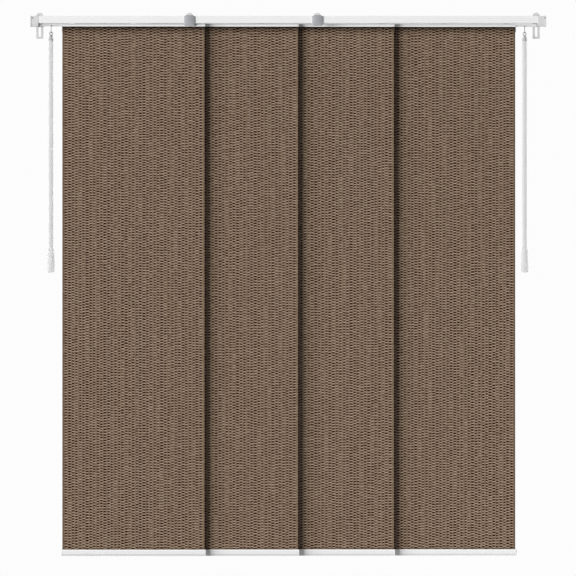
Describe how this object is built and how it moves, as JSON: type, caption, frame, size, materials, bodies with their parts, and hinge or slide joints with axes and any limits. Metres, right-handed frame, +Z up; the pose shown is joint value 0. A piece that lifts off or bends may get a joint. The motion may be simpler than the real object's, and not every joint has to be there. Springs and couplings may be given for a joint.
{
  "type": "panel track blind",
  "caption": "Panel track blind: overlapping woven panels hang from carriers that slide in a head rail on wall brackets, drawn by wands at the sides.",
  "frame": {"origin": "midway between the ear holes of the two end brackets, on the wall plane", "axes": "+X along the rail to the right, +Y into the wall, +Z up"},
  "size_m": [2.168, 0.099, 2.2848],
  "materials": {
    "rail_white": "white satin coat",
    "carrier_white": "white satin coat",
    "bottom_white": "white satin coat",
    "cap_grey": "moulded satin",
    "clip_grey": "moulded satin",
    "bracket_grey": "pressed, satin",
    "bright_steel": "bright plated",
    "glider_nylon": "moulded nylon",
    "carrier_plug": "moulded satin",
    "bottom_plug": "moulded satin",
    "tape": "hook pile",
    "woven_cloth": "coarse brown weave",
    "arm_grey": "moulded satin",
    "link_wire": "bright wire",
    "wand_grey": "gloss",
    "wand_tube": "gloss",
    "wand_grip": "gloss"
  },
  "bodies": {
    "root": {"head_rail": "rail_white", "end_cap_left": "cap_grey", "end_cap_right": "cap_grey", "end_cap_screws": "bright_steel", "wall_bracket_1": "bracket_grey", "wall_bracket_2": "bracket_grey", "wall_bracket_3": "bracket_grey", "wall_bracket_4": "bracket_grey", "bracket_nuts": "bright_steel", "bracket_screws": "bright_steel", "front_clip_left": "clip_grey", "front_clip_right": "clip_grey", "track_stops": "glider_nylon"},
    "panel_1": {"panel_1_carrier": "carrier_white", "panel_1_gliders": "glider_nylon", "panel_1_carrier_caps": "carrier_plug", "panel_1_hook_tape": "tape", "panel_1_fabric": "woven_cloth", "panel_1_bottom_rail": "bottom_white", "panel_1_bottom_caps": "bottom_plug", "left_wand_arm": "arm_grey"},
    "panel_2": {"panel_2_carrier": "carrier_white", "panel_2_gliders": "glider_nylon", "panel_2_carrier_caps": "carrier_plug", "panel_2_hook_tape": "tape", "panel_2_fabric": "woven_cloth", "panel_2_bottom_rail": "bottom_white", "panel_2_bottom_caps": "bottom_plug"},
    "panel_3": {"panel_3_carrier": "carrier_white", "panel_3_gliders": "glider_nylon", "panel_3_carrier_caps": "carrier_plug", "panel_3_hook_tape": "tape", "panel_3_fabric": "woven_cloth", "panel_3_bottom_rail": "bottom_white", "panel_3_bottom_caps": "bottom_plug"},
    "panel_4": {"panel_4_carrier": "carrier_white", "panel_4_gliders": "glider_nylon", "panel_4_carrier_caps": "carrier_plug", "panel_4_hook_tape": "tape", "panel_4_fabric": "woven_cloth", "panel_4_bottom_rail": "bottom_white", "panel_4_bottom_caps": "bottom_plug", "right_wand_arm": "arm_grey"},
    "left_link": {"left_wand_link": "link_wire"},
    "left_wand": {"left_wand_eyelet": "wand_grey", "left_wand_tube": "wand_tube", "left_wand_grip": "wand_grip"},
    "right_link": {"right_wand_link": "link_wire"},
    "right_wand": {"right_wand_eyelet": "wand_grey", "right_wand_tube": "wand_tube", "right_wand_grip": "wand_grip"}
  },
  "joints": [
    {"name": "panel_1_slide", "type": "slide", "parent": "root", "child": "panel_1", "axis": [1, 0, 0], "range_m": [0, 1.307]},
    {"name": "panel_2_slide", "type": "slide", "parent": "root", "child": "panel_2", "axis": [1, 0, 0], "range_m": [-0.393, 0.914]},
    {"name": "panel_3_slide", "type": "slide", "parent": "root", "child": "panel_3", "axis": [1, 0, 0], "range_m": [-0.796, 0.511]},
    {"name": "panel_4_slide", "type": "slide", "parent": "root", "child": "panel_4", "axis": [1, 0, 0], "range_m": [-1.307, 0]},
    {"name": "left_link_swing", "type": "hinge", "parent": "panel_1", "child": "left_link", "pos_m": [-0.9955, -0.0825, -0.046], "axis": [0, 1, 0], "range_deg": [0, 60]},
    {"name": "left_wand_swing", "type": "hinge", "parent": "left_link", "child": "left_wand", "pos_m": [-0.9955, -0.0825, -0.074], "axis": [1, 0, 0], "range_deg": [-60, 0]},
    {"name": "right_link_swing", "type": "hinge", "parent": "panel_4", "child": "right_link", "pos_m": [0.9955, -0.0195, -0.046], "axis": [0, 1, 0], "range_deg": [-60, 0]},
    {"name": "right_wand_swing", "type": "hinge", "parent": "right_link", "child": "right_wand", "pos_m": [0.9955, -0.0195, -0.074], "axis": [1, 0, 0], "range_deg": [-60, 0]}
  ]
}
